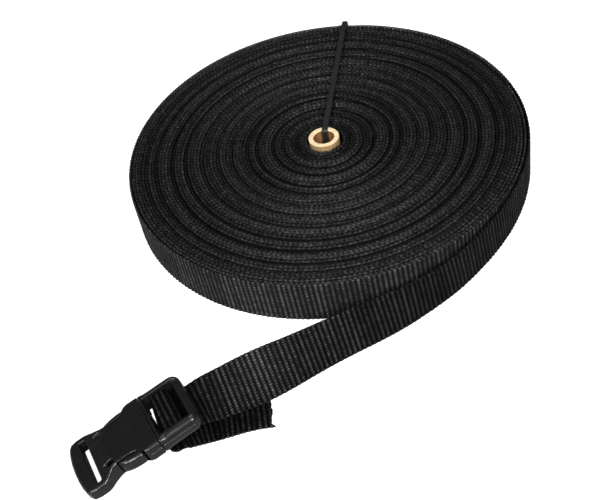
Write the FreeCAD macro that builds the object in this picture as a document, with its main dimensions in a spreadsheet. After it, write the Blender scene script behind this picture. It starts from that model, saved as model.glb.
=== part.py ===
import FreeCAD, Part
import math
import os
import Sketcher
from FreeCAD import Vector, Rotation, Placement

# Long training lead: 25 mm webbing rolled on a short paper tube, held by a thin tie, with a
# 25 mm side-release buckle on its loose outer end. Millimetres, +Z up, origin on the coil's
# axis at its resting plane, -Y towards the side where the loose end comes off.

os.makedirs("parts", exist_ok=True)
doc = FreeCAD.newDocument("training_leash")

# ---------------------------------------------------------------- driving dimensions
DIMS = [
    ("web_width", 25.0),
    ("web_thick", 1.5),
    ("coil_radius", 109.0),
    ("coil_bore", 8.75),  # radius
    ("tube_radius", 8.5),
    ("tube_bore", 5.75),  # radius
    ("tube_height", 27.0),
    ("tie_width", 3.5),
    ("tie_thick", 1.2),
    ("tie_azimuth", 74.0),  # degrees from +X
    ("groove_width", 4.6),
    ("groove_depth", 1.9),
    ("buckle_width", 34.0),
    ("buckle_length", 58.5),
    ("buckle_thick", 9.0),
    ("loop_thick", 5.4),  # socket's strap loop
    ("seam_pos", 37.5),  # where plug frame and socket meet
    ("slot_length", 26.0),
    ("strap_slot_half", 14.2),
    ("cavity_thick", 5.6),
    ("arm_thick", 4.6),
    ("tongue_thick", 4.6),
    ("bar_half", 1.6),  # half the centre bar's thickness
]
sheet = doc.addObject("Spreadsheet::Sheet", "sheet")
for row, (alias, value) in enumerate(DIMS, start=1):
    sheet.set("A%d" % row, alias)
    sheet.set("B%d" % row, "%g" % value)
    sheet.setAlias("B%d" % row, alias)
doc.recompute()
D = {alias: float(sheet.get(alias)) for alias, _ in DIMS}

WEB_WIDTH = D["web_width"]
WEB_THICK = D["web_thick"]
PIECES = []


def add_piece(obj, label):
    obj.Label = label
    PIECES.append(obj)


# ---------------------------------------------------------------- sketch and body helpers
ARC_STEPS = 5  # straight edges in each rounded corner


def origin_plane(body, role):
    for feature in body.Origin.OriginFeatures:
        if feature.Role == role:
            return feature
    raise RuntimeError(role)


def add_sketch(body, name, loops, plane="XY_Plane"):
    """Sketch of closed outlines, each of straight edges joined end to end."""
    sketch = body.newObject("Sketcher::SketchObject", name)
    sketch.AttachmentSupport = [(origin_plane(body, plane), "")]
    sketch.MapMode = "FlatFace"
    for loop in loops:
        points = [Vector(x, y, 0) for x, y in loop]
        first = sketch.GeometryCount
        count = len(points)
        for i in range(count):
            edge = Part.LineSegment(points[i], points[(i + 1) % count])
            sketch.addGeometry(edge, False)
        for i in range(count):
            following = first + (i + 1) % count
            sketch.addConstraint(Sketcher.Constraint("Coincident", first + i, 2, following, 1))
    return sketch


def extrude_sketch(kind, body, name, sketch, length):
    """Pad or Pocket of the given length (an expression), half to each side of the sketch."""
    feature = body.newObject("PartDesign::" + kind, name)
    feature.Profile = sketch
    feature.Midplane = True
    feature.setExpression("Length", length)


def pad(body, name, sketch, length):
    extrude_sketch("Pad", body, name, sketch, length)


def pocket(body, name, sketch, length):
    extrude_sketch("Pocket", body, name, sketch, length)


def rounded(corners):
    """Points of a polygon whose corners are given as (x, y, radius)."""
    points = []
    for i, (x, y, radius) in enumerate(corners):
        if radius <= 0:
            points.append((x, y))
            continue
        last_x, last_y, _ = corners[i - 1]
        next_x, next_y, _ = corners[(i + 1) % len(corners)]
        to_last = math.atan2(last_y - y, last_x - x)
        to_next = math.atan2(next_y - y, next_x - x)
        opening = (to_next - to_last + math.pi) % (2 * math.pi) - math.pi
        half = abs(opening) / 2
        tangent = radius / math.tan(half)
        bisector = to_last + opening / 2
        centre_x = x + math.cos(bisector) * radius / math.sin(half)
        centre_y = y + math.sin(bisector) * radius / math.sin(half)
        start, end = [
            math.atan2(
                y + math.sin(angle) * tangent - centre_y,
                x + math.cos(angle) * tangent - centre_x,
            )
            for angle in (to_last, to_next)
        ]
        sweep = (end - start + math.pi) % (2 * math.pi) - math.pi
        for k in range(ARC_STEPS + 1):
            angle = start + sweep * k / ARC_STEPS
            points.append(
                (centre_x + radius * math.cos(angle), centre_y + radius * math.sin(angle))
            )
    return points


def rounded_slot(x_from, x_to, half, radius):
    """Rounded rectangle reaching half to each side of the x axis."""
    return rounded(
        [
            (x_from, -half, radius),
            (x_to, -half, radius),
            (x_to, half, radius),
            (x_from, half, radius),
        ]
    )


def mirrored(points):
    """Outline closed symmetrically about the x axis, from its +y half."""
    return points + [(x, -y) for x, y in reversed(points) if abs(y) > 1e-9]


# ---------------------------------------------------------------- rolled webbing and tube
TIE_TURN = Rotation(Vector(0, 0, 1), D["tie_azimuth"])


def build_grooved_ring(stem, blank_name, groove_name, height, groove_excess, label):
    """Upright ring with a radial groove for the tie across its underside."""
    blank = doc.addObject("Part::Cylinder", stem + "_" + blank_name)
    blank.setExpression("Radius", "sheet.%s_radius" % stem)
    blank.setExpression("Height", "sheet." + height)
    hole = doc.addObject("Part::Cylinder", stem + "_hole")
    hole.setExpression("Radius", "sheet.%s_bore" % stem)
    hole.setExpression("Height", "sheet.%s + 4" % height)
    hole.Placement = Placement(Vector(0, 0, -2), Rotation())
    groove = doc.addObject("Part::Box", stem + "_" + groove_name)
    groove.setExpression("Length", "sheet.%s_radius + %g" % (stem, groove_excess))
    groove.setExpression("Width", "sheet.groove_width")
    groove.setExpression("Height", "sheet.groove_depth + 1")
    corner = TIE_TURN.multVec(Vector(0, -D["groove_width"] / 2, 0)) + Vector(0, 0, -1)
    groove.Placement = Placement(corner, TIE_TURN)
    tools = doc.addObject("Part::Fuse", stem + "_tools")
    tools.Base = hole
    tools.Tool = groove
    ring = doc.addObject("Part::Cut", stem)
    ring.Base = blank
    ring.Tool = tools
    add_piece(ring, label)


# ---------------------------------------------------------------- tie
TIE_THICK = D["tie_thick"]
TIE_BASE_Z = 0.3  # underside of the band
TIE_TUBE_X = 4.7  # band's inner face inside the tube
TIE_BACK_X = 111.3  # band's inner face behind the roll
# Corners of the band's inner face: x, z, the outer face's offset in x and z (in
# thicknesses), inner radius, outer radius
TIE_CORNERS = [
    (TIE_TUBE_X, TIE_BASE_Z + TIE_THICK, -1, -1, 0.8, 1.2),
    (TIE_BACK_X, TIE_BASE_Z + TIE_THICK, 1, -1, 1.0, 1.6),
    (TIE_BACK_X, 26.3, 1, 1, 2.2, 3.0),
    (104.0, 26.9, 0, 1, 4.0, 4.0),
    (TIE_TUBE_X, 27.2, -1, 1, 0.45, 1.6),
]
# Locking head's corners: x, z, radius
HEAD_CORNERS = [(111.9, 4.0, 0), (117.0, 4.0, 1.2), (117.0, 9.0, 1.2), (111.9, 9.0, 0)]


def build_tie():
    """Closed flat band in a plane through the roll's axis: up inside the tube, over its rim,
    straight to the roll's outer edge, down the back, and back under the roll."""
    tie = doc.addObject("PartDesign::Body", "tie")
    inner = rounded([(x, z, r_in) for x, z, _, _, r_in, _ in TIE_CORNERS])
    outer = rounded(
        [
            (x + side * TIE_THICK, z + up * TIE_THICK, r_out)
            for x, z, side, up, _, r_out in TIE_CORNERS
        ]
    )
    band = add_sketch(tie, "tie_sketch", [outer, inner], "XZ_Plane")
    pad(tie, "tie_pad", band, "sheet.tie_width")
    # locking head, low at the back
    head = add_sketch(tie, "head_sketch", [rounded(HEAD_CORNERS)], "XZ_Plane")
    pad(tie, "head_pad", head, "sheet.tie_width + 2.2")
    tie.Placement = Placement(Vector(0, 0, 0), TIE_TURN)
    add_piece(tie, "retaining_tie")


# ---------------------------------------------------------------- buckle frame
# x from the socket's end bar (0) towards the strap (buckle_length), y across, z its thickness.
ALONG = Vector(0.92032, 0.33134, 0.20791)
ACROSS = Vector(-0.30822, 0.94153, -0.13613)
NORMAL = Vector(-0.24086, 0.0612, 0.96863)
BUCKLE_ORIGIN = Vector(-141.7, -173.0, 6.2)
BUCKLE_PLACE = Placement(
    FreeCAD.Matrix(
        ALONG.x, ACROSS.x, NORMAL.x, BUCKLE_ORIGIN.x,
        ALONG.y, ACROSS.y, NORMAL.y, BUCKLE_ORIGIN.y,
        ALONG.z, ACROSS.z, NORMAL.z, BUCKLE_ORIGIN.z,
        0, 0, 0, 1,
    )
)


# ---------------------------------------------------------------- loose webbing
# Every strip is given as stations along it, each a (near, far) pair of edge points on the
# webbing's middle surface.
def add_strip(name, label, stations):
    """Flat strip lofted through rectangular sections, one at each station."""
    middles = [(near + far) * 0.5 for near, far in stations]
    last = len(stations) - 1
    sections = []
    for i, (near, far) in enumerate(stations):
        along = middles[min(i + 1, last)] - middles[max(i - 1, 0)]
        face = along.cross(far - near)
        face.normalize()
        offset = face * (WEB_THICK / 2)
        ring = [near - offset, near + offset, far + offset, far - offset]
        sections.append(Part.makePolygon(ring + [ring[0]]))
    strip = doc.addObject("Part::Feature", name)
    strip.Shape = Part.makeLoft(sections, True, False)
    add_piece(strip, label)


def across_station(middle, direction):
    """Station of the webbing's true width about a middle point."""
    half = direction * (WEB_WIDTH / 2)
    return middle - half, middle + half


def true_width(stations):
    fitted = []
    for near, far in stations:
        direction = far - near
        direction.normalize()
        fitted.append(across_station((near + far) * 0.5, direction))
    return fitted


# Last part-turn, standing on its edge: azimuth in degrees, radius of its outer face
WRAP_ARC = [
    (9.0, 110.78), (2.0, 110.80), (-5.0, 110.85), (-13.0, 110.95), (-21.0, 111.1),
    (-30.0, 111.35), (-39.0, 111.9), (-46.0, 112.6), (-51.5, 113.45), (-55.15, 114.2),
]


def build_wrap():
    stations = []
    for azimuth, outer_radius in WRAP_ARC:
        radius = outer_radius - WEB_THICK / 2
        x = radius * math.cos(math.radians(azimuth))
        y = radius * math.sin(math.radians(azimuth))
        stations.append((Vector(x, y, 0), Vector(x, y, WEB_WIDTH)))
    add_strip("wrap", "outer_wrap", stations)


# Free end, from the roll to the flexing line: lower edge point, upper edge point. It leaves
# the roll standing on edge and turns until it lies nearly flat, rising a little.
RUN_EDGES = [
    ((64.17, -93.7, 0), (64.17, -93.7, 25)),
    ((54.2, -101.9, 0), (54.2, -101.9, 25)),
    ((45.0, -108.4, 0), (45.0, -108.2, 25)),
    ((36.2, -113.6, 0.0), (36.4, -112.8, 25)),
    ((27.6, -118.0, 0.1), (27.8, -116.4, 25.1)),
    ((16.2, -124.0, 0.4), (15.9, -120.4, 25.3)),
    ((1.5, -130.1, 0.9), (0.2, -124.9, 25.5)),
    ((-13.6, -135.8, 1.6), (-15.3, -128.8, 25.5)),
    ((-28.2, -142.4, 2.6), (-30.9, -132.9, 25.5)),
    ((-42.4, -150.2, 4.4), (-46.7, -136.1, 24.6)),
    ((-56.4, -157.5, 7.7), (-62.2, -137.3, 21.2)),
    ((-66.4, -161.5, 10.2), (-72.5, -138.8, 18.5)),
]
# Flexing line: across the strap, a little before the buckle
FLEX = Vector(-74.6, -151.55, 14.4)
FLEX_AXIS = Vector(-0.247, 0.936, 0.247)
FLEX_AXIS.normalize()
FLEX_GAP = 0.45  # left free on each side of the line
# Middle of the strap's end at the buckle, 60.2 along its x and 3.6 below its mid-plane
STRAP_ENTRY = BUCKLE_ORIGIN + ALONG * 60.2 - NORMAL * 3.6
# Edge points between the flexing line and the buckle
END_EDGES = (Vector(-79.0, -165.5, 13.1), Vector(-85.6, -141.7, 15.6))


def build_run_and_end():
    """The strap up to the flexing line, and the short length that turns level with the
    buckle."""
    ahead = STRAP_ENTRY - FLEX
    ahead.normalize()
    run = true_width([(Vector(*near), Vector(*far)) for near, far in RUN_EDGES])
    run.append(across_station(FLEX - ahead * FLEX_GAP, FLEX_AXIS))
    add_strip("run", "strap_run", run)
    end = [
        across_station(FLEX + ahead * FLEX_GAP, FLEX_AXIS),
        END_EDGES,
        across_station(STRAP_ENTRY, ACROSS),
    ]
    add_strip("lead", "strap_end", true_width(end))


TAIL_X = (-92.0, -89.0, -85.0, -80.0, -74.0, -67.0, -60.0, -53.5)  # near edge stations
TAIL_Y_CUBIC = (-5.917539e-05, -0.01771163, -1.50108841, -205.183971)  # y of x, x^3 first
TAIL_REST_Z = 0.85
TAIL_LANDING_X = -72.0  # the near edge lies level beyond this
TAIL_RISE = 5.6  # rise over one TAIL_SPAN back from the landing
TAIL_SPAN = 26.0
TAIL_TURN_X = -96.0  # where the tail's cross direction begins to turn
TAIL_AZIMUTHS = (107.0, 88.0)  # cross direction before and after the turn
TAIL_TILT = -4.0  # its slope in degrees before the turn
TAIL_LIFT = 1.0  # extra height before the turn


def build_tail():
    """Cut tail: comes back out under the buckle and settles on the resting plane."""
    stations = []
    for x in TAIL_X:
        y = 0.0
        for coefficient in TAIL_Y_CUBIC:
            y = y * x + coefficient
        climb = max((TAIL_LANDING_X - x) / TAIL_SPAN, 0.0)
        ease = min((x - TAIL_TURN_X) / TAIL_SPAN, 1.0)
        ease = ease * ease * (3 - 2 * ease)
        before, after = TAIL_AZIMUTHS
        azimuth = math.radians(before + (after - before) * ease)
        slope = math.radians(TAIL_TILT * (1 - ease))
        direction = Vector(
            math.cos(azimuth) * math.cos(slope),
            math.sin(azimuth) * math.cos(slope),
            math.sin(slope),
        )
        z = TAIL_REST_Z + TAIL_RISE * climb * climb + TAIL_LIFT * (1 - ease)
        near = Vector(x, y, z)
        stations.append((near, near + direction * WEB_WIDTH))
    add_strip("tail", "strap_tail", stations)


# Webbing round the centre bar: in under the end bar, up, over the bar, down and out below.
# x, z of its middle line in the buckle's frame
LOOP_PATH = [
    (59.8, -3.55), (57.6, -3.1), (55.4, -2.75), (53.8, -2.2), (52.6, -0.6), (51.6, 1.2),
    (50.0, 2.35), (46.6, 2.55), (43.3, 2.4), (41.8, 1.6), (41.3, 0.2), (41.2, -2.0),
    (41.05, -4.4), (40.95, -6.6), (41.5, -8.8), (42.9, -10.4), (44.8, -11.3),
]
LOOP_SAMPLES = 48
LOOP_THINNING = 0.05  # taken off each face


def spline(points):
    curve = Part.BSplineCurve()
    curve.interpolate(points)
    return curve


def build_bar_loop():
    curve = spline([Vector(x, 0, z) for x, z in LOOP_PATH])
    first = curve.FirstParameter
    span = curve.LastParameter - first
    left, right = [], []
    for k in range(LOOP_SAMPLES + 1):
        u = first + span * k / LOOP_SAMPLES
        point = curve.value(u)
        tangent = curve.tangent(u)[0]
        side = Vector(-tangent.z, 0, tangent.x) * (WEB_THICK / 2 - LOOP_THINNING)
        left.append(point + side)
        right.append(point - side)
    outline = Part.Wire(
        [
            spline(left).toShape(),
            Part.makeLine(left[-1], right[-1]),
            spline(right).toShape(),
            Part.makeLine(right[0], left[0]),
        ]
    )
    face = Part.Face(outline)
    face.translate(Vector(0, -WEB_WIDTH / 2, 0))
    loop = doc.addObject("Part::Feature", "loop")
    loop.Shape = face.extrude(Vector(0, WEB_WIDTH, 0))
    loop.Placement = BUCKLE_PLACE
    add_piece(loop, "bar_loop")


# ---------------------------------------------------------------- buckle plug
HALF_WIDTH = D["buckle_width"] / 2
LENGTH = D["buckle_length"]
SEAM = D["seam_pos"]
SEAM_GAP = 0.15  # left free on each side of the seam
CUT_Z = 6.0  # clear of the buckle's faces
BAR_X = (43.8, 49.2)  # centre bar, between the two slots
SLOTS_X = ((39.9, BAR_X[0]), (BAR_X[1], 54.6))
CUT_OVERLAP = 0.2  # bar cuts run this far into the slots
END_BAR_BOTTOM_Z = -1.5
END_BAR_TOP_Z = (3.6, 3.0)  # sloping down towards the strap


def build_plug():
    """Ladder frame with two slots, thin centre bar, end bar, and a guide tongue."""
    plug = doc.addObject("PartDesign::Body", "plug")
    frame = [
        (SEAM + SEAM_GAP, -HALF_WIDTH, 0.8),
        (LENGTH, -HALF_WIDTH, 3.6),
        (LENGTH, HALF_WIDTH, 3.6),
        (SEAM + SEAM_GAP, HALF_WIDTH, 0.8),
    ]
    sketch = add_sketch(plug, "frame_sketch", [rounded(frame)])
    pad(plug, "frame_pad", sketch, "sheet.buckle_thick")
    tongue = [(SEAM + 1, -2.2, 0), (SEAM + 1, 2.2, 0), (20.0, 1.6, 1.0), (20.0, -1.6, 1.0)]
    sketch = add_sketch(plug, "tongue_sketch", [rounded(tongue)])
    pad(plug, "tongue_pad", sketch, "sheet.tongue_thick")
    slots = [rounded_slot(x0, x1, D["slot_length"] / 2, 0.6) for x0, x1 in SLOTS_X]
    sketch = add_sketch(plug, "slots_sketch", slots)
    pocket(plug, "slots", sketch, "sheet.buckle_thick + 2")

    # Both bars are thinner than the rails, above and below
    bar_x0 = BAR_X[0] - CUT_OVERLAP
    bar_x1 = BAR_X[1] + CUT_OVERLAP
    end_x0 = SLOTS_X[1][1] - CUT_OVERLAP
    end_x1 = LENGTH + 1
    # feature name, sketch name, x range, bar's z at each end of it, z to cut out to
    thinning = [
        ("bar_top", "bar_top_sketch", bar_x0, bar_x1, D["bar_half"], D["bar_half"], CUT_Z),
        ("bar_bottom", "bar_bottom_sketch", bar_x0, bar_x1,
         -D["bar_half"], -D["bar_half"], -CUT_Z),
        ("under_bar", "under_sketch", end_x0, end_x1,
         END_BAR_BOTTOM_Z, END_BAR_BOTTOM_Z, -CUT_Z),
        ("end_bar_top", "end_top_sketch", end_x0, end_x1, *END_BAR_TOP_Z, CUT_Z),
    ]
    for name, sketch_name, x0, x1, z0, z1, z_clear in thinning:
        outline = [(x0, z0), (x1, z1), (x1, z_clear), (x0, z_clear)]
        sketch = add_sketch(plug, sketch_name, [outline], "XZ_Plane")
        pocket(plug, name, sketch, "sheet.slot_length")
    plug.Placement = BUCKLE_PLACE
    add_piece(plug, "plug_frame")


# Outline of the release arm on the +y side: x, y. Finger pad outside, hook behind it.
ARM_OUTLINE = [
    (37.2, 8.1), (30.0, 8.9), (22.5, 10.0), (16.0, 8.4), (14.3, 8.2), (13.8, 9.1),
    (14.8, 10.2), (16.95, 10.85), (17.6, 12.9), (20.0, 14.0), (24.5, 14.35), (29.3, 14.9),
    (29.35, 12.0), (33.5, 11.2), (37.2, 10.7),
]


def build_arm(label, sign):
    arm = doc.addObject("PartDesign::Body", label + "_body")
    sketch = add_sketch(arm, label + "_sketch", [[(x, y * sign) for x, y in ARM_OUTLINE]])
    pad(arm, label + "_pad", sketch, "sheet.arm_thick")
    arm.Placement = BUCKLE_PLACE
    add_piece(arm, label)


# ---------------------------------------------------------------- buckle socket
# The +y half of the outline, from the end bar to the seam: x, y
SOCKET_HALF = [
    (-0.5, 0.0), (-0.45, 6.0), (0.0, 11.0), (0.9, 14.2), (2.4, 16.2), (4.8, 17.0), (8.4, 17.0),
    (11.0, 16.2), (13.0, 14.6), (14.8, 13.2), (16.6, 12.7), (20.0, 12.6), (24.0, 12.7),
    (27.5, 13.4), (29.8, 15.2), (31.2, 16.8), (32.8, 17.2), (35.0, 17.1),
    (SEAM - SEAM_GAP, HALF_WIDTH),
]
# The +y half of the cavity, with the finger window at its side: x, y
CAVITY_HALF = [
    (12.6, 10.6), (16.8, 11.2), (16.8, 19.0), (30.0, 19.0), (30.0, 12.7), (38.5, 12.7),
]
LOOP_END_X = 9.4  # the strap loop's thickness is even up to here
SHELL_X = 13.5  # the shell has its full thickness from here


def build_socket():
    """Two plates and a mouth ring, finger windows at the sides, a strap loop at the end."""
    socket = doc.addObject("PartDesign::Body", "socket")
    sketch = add_sketch(socket, "outline_sketch", [mirrored(SOCKET_HALF)])
    pad(socket, "socket_pad", sketch, "sheet.buckle_thick")
    # The strap loop is thinner than the shell: trim above and below
    for name, sign in (("loop_top", 1), ("loop_bottom", -1)):
        loop_z = sign * D["loop_thick"] / 2
        shell_z = sign * D["buckle_thick"] / 2
        clear_z = sign * CUT_Z
        outline = [
            (-2, loop_z), (LOOP_END_X, loop_z), (SHELL_X, shell_z),
            (SHELL_X, clear_z), (-2, clear_z),
        ]
        sketch = add_sketch(socket, name + "_sketch", [outline], "XZ_Plane")
        pocket(socket, name, sketch, "sheet.buckle_width + 4")
    slot = rounded_slot(4.2, 7.8, D["strap_slot_half"], 0.8)
    sketch = add_sketch(socket, "strap_slot_sketch", [slot])
    pocket(socket, "strap_slot", sketch, "sheet.buckle_thick + 2")
    sketch = add_sketch(socket, "cavity_sketch", [mirrored(CAVITY_HALF)])
    pocket(socket, "cavity", sketch, "sheet.cavity_thick")
    socket.Placement = BUCKLE_PLACE
    add_piece(socket, "socket_housing")


# ---------------------------------------------------------------- build
build_grooved_ring("coil", "disc", "groove", "web_width", 6, "webbing_coil")
build_grooved_ring("tube", "wall", "notch", "tube_height", 2, "core_tube")
build_tie()
build_wrap()
build_run_and_end()
build_tail()
build_bar_loop()
build_plug()
build_arm("left_release_arm", 1)
build_arm("right_release_arm", -1)
build_socket()

# ---------------------------------------------------------------- checks and files
doc.recompute()
for obj in doc.Objects:
    if "Invalid" in obj.State or "Error" in obj.State:
        raise RuntimeError("%s: %s" % (obj.Name, obj.State))
    # every pocket must have removed material
    if obj.isDerivedFrom("PartDesign::Pocket"):
        if not obj.Shape.Volume < obj.BaseFeature.Shape.Volume - 1.0:
            raise RuntimeError("%s cuts nothing" % obj.Name)
for obj in PIECES:
    shape = obj.Shape
    if shape.isNull() or not shape.isValid() or shape.Volume <= 0:
        raise RuntimeError("%s has no valid shape" % obj.Label)
    if len(shape.Solids) != 1:
        raise RuntimeError("%s has %d solids" % (obj.Label, len(shape.Solids)))
    shape.exportStep("parts/%s.step" % obj.Label)
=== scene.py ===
# A roll of 25 mm black webbing standing on edge round a paper tube, held by a tie, its free end
# carrying a side-release buckle. Millimetres until a mesh is made: the roll's axis is z through
# the origin, the floor is just under z = 0, and the free end runs towards -x, -y to the buckle.
import bpy
import math
import numpy as np
from mathutils import Matrix, Vector


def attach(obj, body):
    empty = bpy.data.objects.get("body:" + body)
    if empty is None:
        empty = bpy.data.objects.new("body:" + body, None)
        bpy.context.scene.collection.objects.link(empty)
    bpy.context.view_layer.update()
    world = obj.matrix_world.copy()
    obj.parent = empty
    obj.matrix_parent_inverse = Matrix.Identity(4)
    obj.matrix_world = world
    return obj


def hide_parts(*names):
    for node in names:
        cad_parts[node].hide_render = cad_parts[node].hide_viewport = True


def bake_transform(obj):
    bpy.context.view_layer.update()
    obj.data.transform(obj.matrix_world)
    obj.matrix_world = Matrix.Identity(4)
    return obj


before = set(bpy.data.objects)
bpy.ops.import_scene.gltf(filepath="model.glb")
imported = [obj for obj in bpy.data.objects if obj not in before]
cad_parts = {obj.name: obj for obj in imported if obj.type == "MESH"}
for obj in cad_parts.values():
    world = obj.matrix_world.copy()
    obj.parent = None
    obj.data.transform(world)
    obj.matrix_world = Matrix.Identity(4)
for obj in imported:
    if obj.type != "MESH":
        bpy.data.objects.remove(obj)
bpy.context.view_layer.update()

MM = 0.001

# the buckle's own axes: x from the socket's end bar to the strap, y across, z out of its face
BUCKLE_X = np.array([0.92032, 0.33134, 0.20791])
BUCKLE_Y = np.array([-0.30822, 0.94153, -0.13613])
BUCKLE_Z = np.array([-0.24086, 0.0612, 0.96863])
BUCKLE_ORIGIN = np.array([-141.7, -173.0, 6.2])

WIDTH = 25.0              # webbing
HALF = WIDTH / 2
PITCH = 2.6               # weft ribs along the webbing
ENDS = 18                 # warp floats across the width
BEAD = WIDTH / ENDS
BEAD_STEPS = 5            # mesh columns per float

TURN = 1.83               # radius gained per turn
TURNS = 54.85
END_RADIUS = 110.78       # outer face at the end of the last turn
END_AZIMUTH = 9.0
FACE_TO_MID = 0.75        # outer face to centre line of the outermost turns
ROLL_FACE_TO_MID = 0.80   # the same, turns inside

TIE_AZIMUTH = 74.0
TIE_ANGLE = math.radians(TIE_AZIMUTH)
TIE_NOTCH = 1.95          # how far the roll and tube are lifted over the tie
TIE_NOTCH_HALF = 2.3      # half the width of the full lift
UP = np.array([0, 0, 1.0])
TIE_OUT = np.array([math.cos(TIE_ANGLE), math.sin(TIE_ANGLE), 0])
TIE_SIDE = np.array([-TIE_OUT[1], TIE_OUT[0], 0])


# ------------------------------------------------------------------ points and noise
def combine(a, b, c, axes):
    """Points with coordinates a, b, c along three axes."""
    a, b, c = np.broadcast_arrays(*(np.asarray(v, float) for v in (a, b, c)))
    return a[..., None] * axes[0] + b[..., None] * axes[1] + c[..., None] * axes[2]


def buckle_point(x, y, z):
    return BUCKLE_ORIGIN + combine(x, y, z, (BUCKLE_X, BUCKLE_Y, BUCKLE_Z))


def tie_point(radius, side, z):
    return combine(radius, side, z, (TIE_OUT, TIE_SIDE, UP))


def polar(radius, angle, z):
    return np.stack(np.broadcast_arrays(radius * np.cos(angle), radius * np.sin(angle), z), -1)


def unit(vectors):
    return vectors / np.linalg.norm(vectors, axis=-1, keepdims=True)


def path_length(points):
    steps = np.linalg.norm(np.diff(points, axis=0), axis=1)
    return np.concatenate([[0], np.cumsum(steps)])


def ease(x, start, end):
    """0 before start, 1 past end, smooth between."""
    t = np.clip((x - start) / (end - start), 0, 1)
    return t * t * (3 - 2 * t)


def scatter(key):
    """A repeatable value between 0 and 1 for each key."""
    value = np.sin(np.asarray(key, float) * 12.9898 + 4.1414) * 43758.5453
    return value - np.floor(value)


def wave(x, seed):
    """Smooth noise along x (period about 1), between -1 and 1."""
    cell = np.floor(x)
    t = x - cell
    t = t * t * (3 - 2 * t)
    return (scatter(cell + seed * 57.3) * (1 - t) + scatter(cell + 1 + seed * 57.3) * t) * 2 - 1


def spline(points):
    """Uniform Catmull-Rom curve through points, 24 steps to a span."""
    points = np.asarray(points, float)
    padded = np.vstack([2 * points[0] - points[1], points, 2 * points[-1] - points[-2]])
    t = np.linspace(0, 1, 24, endpoint=False)[:, None]
    curve = []
    for i in range(len(points) - 1):
        before, start, end, after = padded[i : i + 4]
        linear = -before + end
        square = 2 * before - 5 * start + 4 * end - after
        cube = -before + 3 * start - 3 * end + after
        curve.append(0.5 * ((2 * start) + linear * t + square * t**2 + cube * t**3))
    return np.vstack(curve + [points[-1:]])


# ------------------------------------------------------------------ meshes
def build(name, points, quads, attributes):
    """Smooth mesh object from points in mm, quad indices and named vector attributes."""
    points = np.asarray(points, np.float64).reshape(-1, 3)
    quads = np.asarray(quads, np.int64)
    mesh = bpy.data.meshes.new(name)
    mesh.vertices.add(len(points))
    mesh.vertices.foreach_set("co", (points * MM).astype(np.float32).ravel())
    mesh.loops.add(quads.size)
    mesh.loops.foreach_set("vertex_index", quads.astype(np.int32).ravel())
    mesh.polygons.add(len(quads))
    mesh.polygons.foreach_set("loop_start", np.arange(0, quads.size, 4, dtype=np.int32))
    mesh.polygons.foreach_set("use_smooth", np.full(len(quads), True))
    mesh.update(calc_edges=True)
    mesh.validate()
    for key, values in attributes.items():
        attribute = mesh.attributes.new(key, "FLOAT_VECTOR", "POINT")
        attribute.data.foreach_set("vector", np.asarray(values, np.float32).ravel())
    piece = bpy.data.objects.new(name, mesh)
    bpy.context.scene.collection.objects.link(piece)
    return piece


def tube_quads(rows, cols):
    """Quads of a closed section swept along rows stations, capped at both ends."""
    i = np.arange(rows - 1)[:, None] * cols
    j = np.arange(cols)[None, :]
    k = (j + 1) % cols
    sides = np.stack([i + j, i + k, i + cols + k, i + cols + j], -1).reshape(-1, 4)
    a = np.arange(cols // 2 - 1)
    cap = np.stack([a, cols - 1 - a, cols - 2 - a, a + 1], -1)
    return np.concatenate([sides, cap, cap[:, ::-1] + (rows - 1) * cols])


def ring_quads(rows, cols):
    """Quads of a closed section swept round a closed loop."""
    i = np.arange(rows)[:, None]
    following = (i + 1) % rows * cols
    i = i * cols
    j = np.arange(cols)[None, :]
    k = (j + 1) % cols
    return np.stack([i + j, following + j, following + k, i + k], -1).reshape(-1, 4)


def finish_piece(piece, material, nodes, body=None, bend=None):
    """Dress a piece; it rides one body, or, given bend, has its transform baked in; bend's values
    (first, second, start, end) are not used.
    """
    piece.data.materials.append(material)
    if bend is None:
        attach(piece, body)
    else:
        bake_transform(piece)
    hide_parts(*nodes)


class Ribbon:
    """Centre line, width direction and normal of a strip, from its two edges, by length."""

    def __init__(self, near, far, start=0.0):
        near, far = spline(near), spline(far)
        centre = (near + far) / 2
        length = path_length(centre)
        keep = np.concatenate([[True], np.diff(length) > 1e-9])
        self.length = length[keep] + start
        self.centre = centre[keep]
        self.across = unit(far - near)[keep]
        self.ahead = np.gradient(self.centre, self.length, axis=0)

    @property
    def end(self):
        return self.length[-1]

    def at(self, along):
        shape = along.shape + (3,)
        along = along.ravel()

        def sample(rows):
            return np.stack([np.interp(along, self.length, rows[:, i]) for i in range(3)], -1)

        ahead = unit(sample(self.ahead))
        # straight on past either end
        over = along - np.clip(along, self.length[0], self.end)
        centre = sample(self.centre) + ahead * over[:, None]
        across = unit(sample(self.across))
        normal = unit(np.cross(across, ahead))
        return centre.reshape(shape), across.reshape(shape), normal.reshape(shape)


# ------------------------------------------------------------------ weave
# distance past the point where the free end leaves the roll; lean of the ribs there,
# in mm along the webbing per mm of width
LEAN_AT = [-124, -20, 30, 58, 80, 106, 120, 142, 200]
LEAN = [0.04, 0.14, 0.15, 0.09, 0.06, 0.04, 0.01, -0.03, -0.02]


def rib_lean(distance):
    return np.interp(distance, LEAN_AT, LEAN)


def weave_cell(phase, across):
    """Rib number, and position counted in warp floats, which step half a float each rib."""
    rib = np.floor(phase + 1e-6)
    return rib, across / BEAD + (rib % 2) * 0.5


def relief(phase, across):
    """Weave height between 0 (groove) and 1 (top of a warp float)."""
    rib, end = weave_cell(phase, across)
    within = phase - rib
    ridge = np.clip((np.abs(np.sin(np.pi * within)) - 0.10) / 0.90, 0, 1) ** 1.35
    # each float lies a little across its neighbours
    bead = np.abs(np.sin(np.pi * (end + 0.30 * (within - 0.5))))
    uneven = 0.34 * (scatter(rib * 3.1 + np.floor(end) * 7.7) - 0.5)
    uneven = uneven + 0.10 * (scatter(rib * 1.7) - 0.5)
    return np.clip(ridge * (0.38 + (0.56 + uneven) * bead), 0, 1)


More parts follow.
